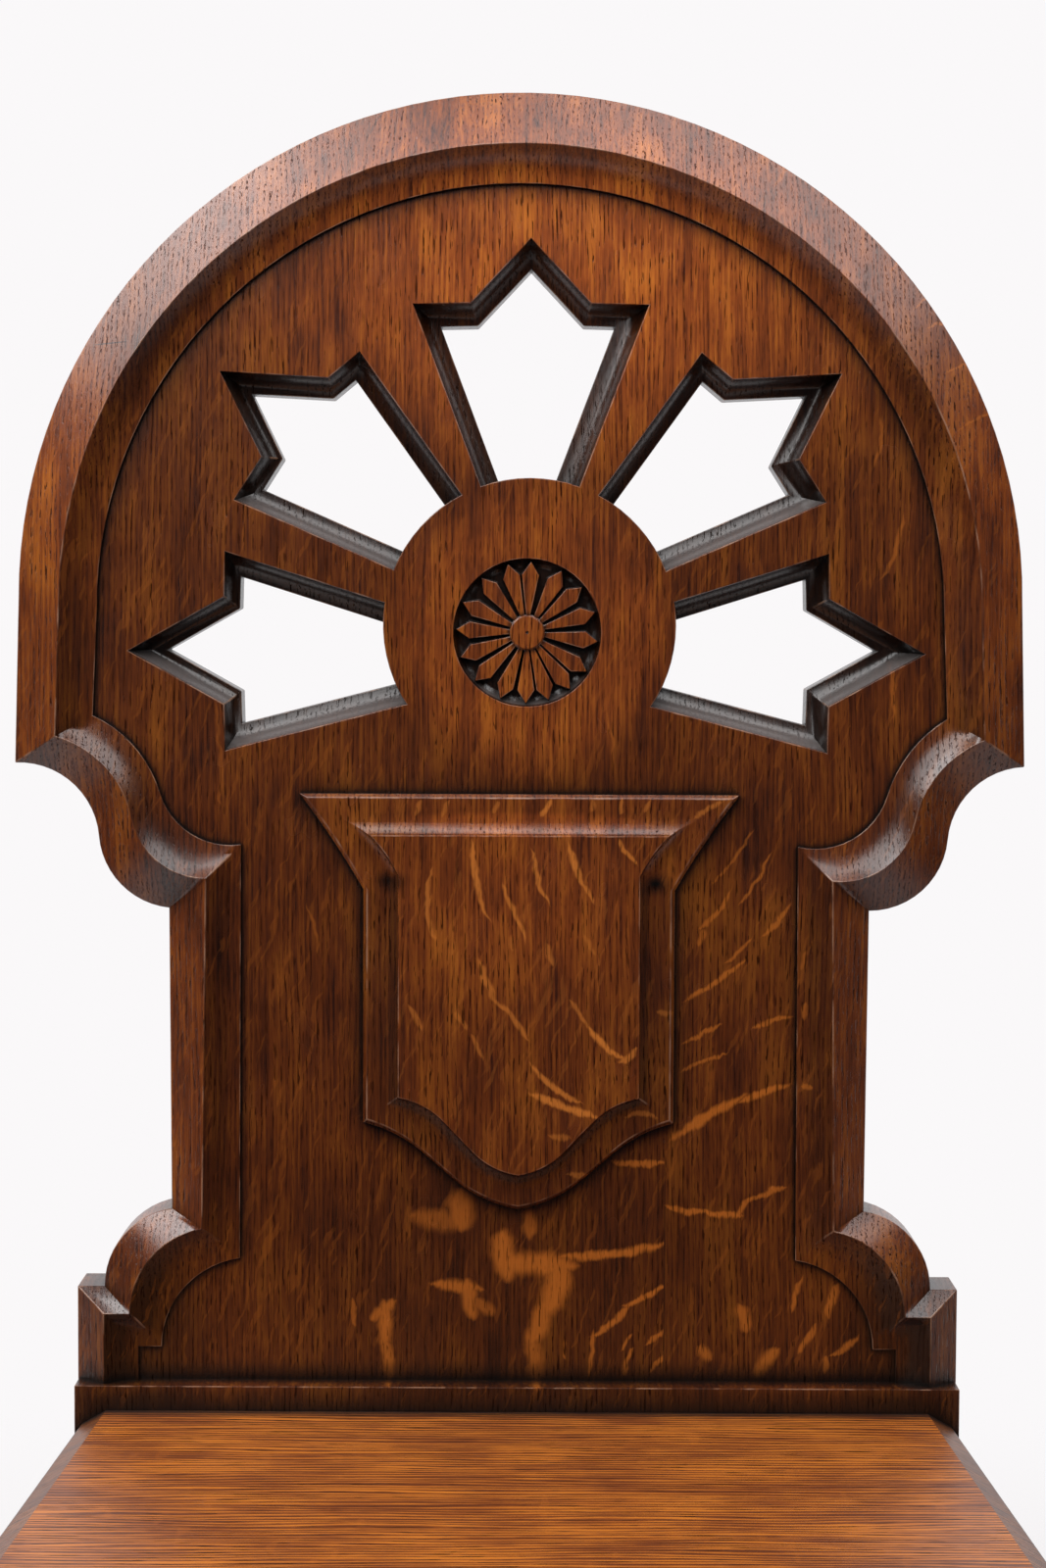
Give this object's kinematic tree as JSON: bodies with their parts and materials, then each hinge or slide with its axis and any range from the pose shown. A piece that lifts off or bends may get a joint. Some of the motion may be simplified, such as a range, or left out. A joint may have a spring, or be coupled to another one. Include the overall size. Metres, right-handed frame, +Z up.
{
  "type": "hall chair",
  "caption": "Carved oak hall chair with a raking round-arched board back pierced by star-like openings round a rosette hub, an applied shield and a solid board seat.",
  "frame": {"origin": "middle of the footprint, on the floor", "axes": "+Z up; the chair faces -Y; +X is to the right as seen from the front"},
  "size_m": [0.4386, 0.4614, 0.9999],
  "materials": {
    "carved_back_oak": "quarter-sawn oak, dark stain and wax, worn on the arrises",
    "seat_oak": "quarter-sawn oak, mid stain and wax, grain from side to side",
    "frame_oak": "straight-grained oak, dark stain and wax",
    "block_oak": "plain oak, unfinished and aged",
    "screw_steel": "dull aged steel"
  },
  "bodies": {
    "root": {"back_board_left": "carved_back_oak", "back_board_centre": "carved_back_oak", "back_board_right": "carved_back_oak", "shield_cartouche": "carved_back_oak", "seat_board_rear": "seat_oak", "seat_board_middle": "seat_oak", "seat_board_front": "seat_oak", "front_leg_left": "frame_oak", "front_leg_right": "frame_oak", "rear_leg_left": "frame_oak", "rear_leg_right": "frame_oak", "front_rail": "frame_oak", "rear_rail": "frame_oak", "side_rail_left": "frame_oak", "side_rail_right": "frame_oak", "corner_block_front_left": "block_oak", "corner_block_front_right": "block_oak", "corner_block_rear_left": "block_oak", "corner_block_rear_right": "block_oak", "back_joint_dowels": "block_oak", "seat_joint_dowels": "block_oak", "rail_pegs": "frame_oak", "back_screws": "screw_steel", "shield_screws": "screw_steel", "corner_block_screws": "screw_steel", "seat_screws": "screw_steel"}
  },
  "joints": []
}
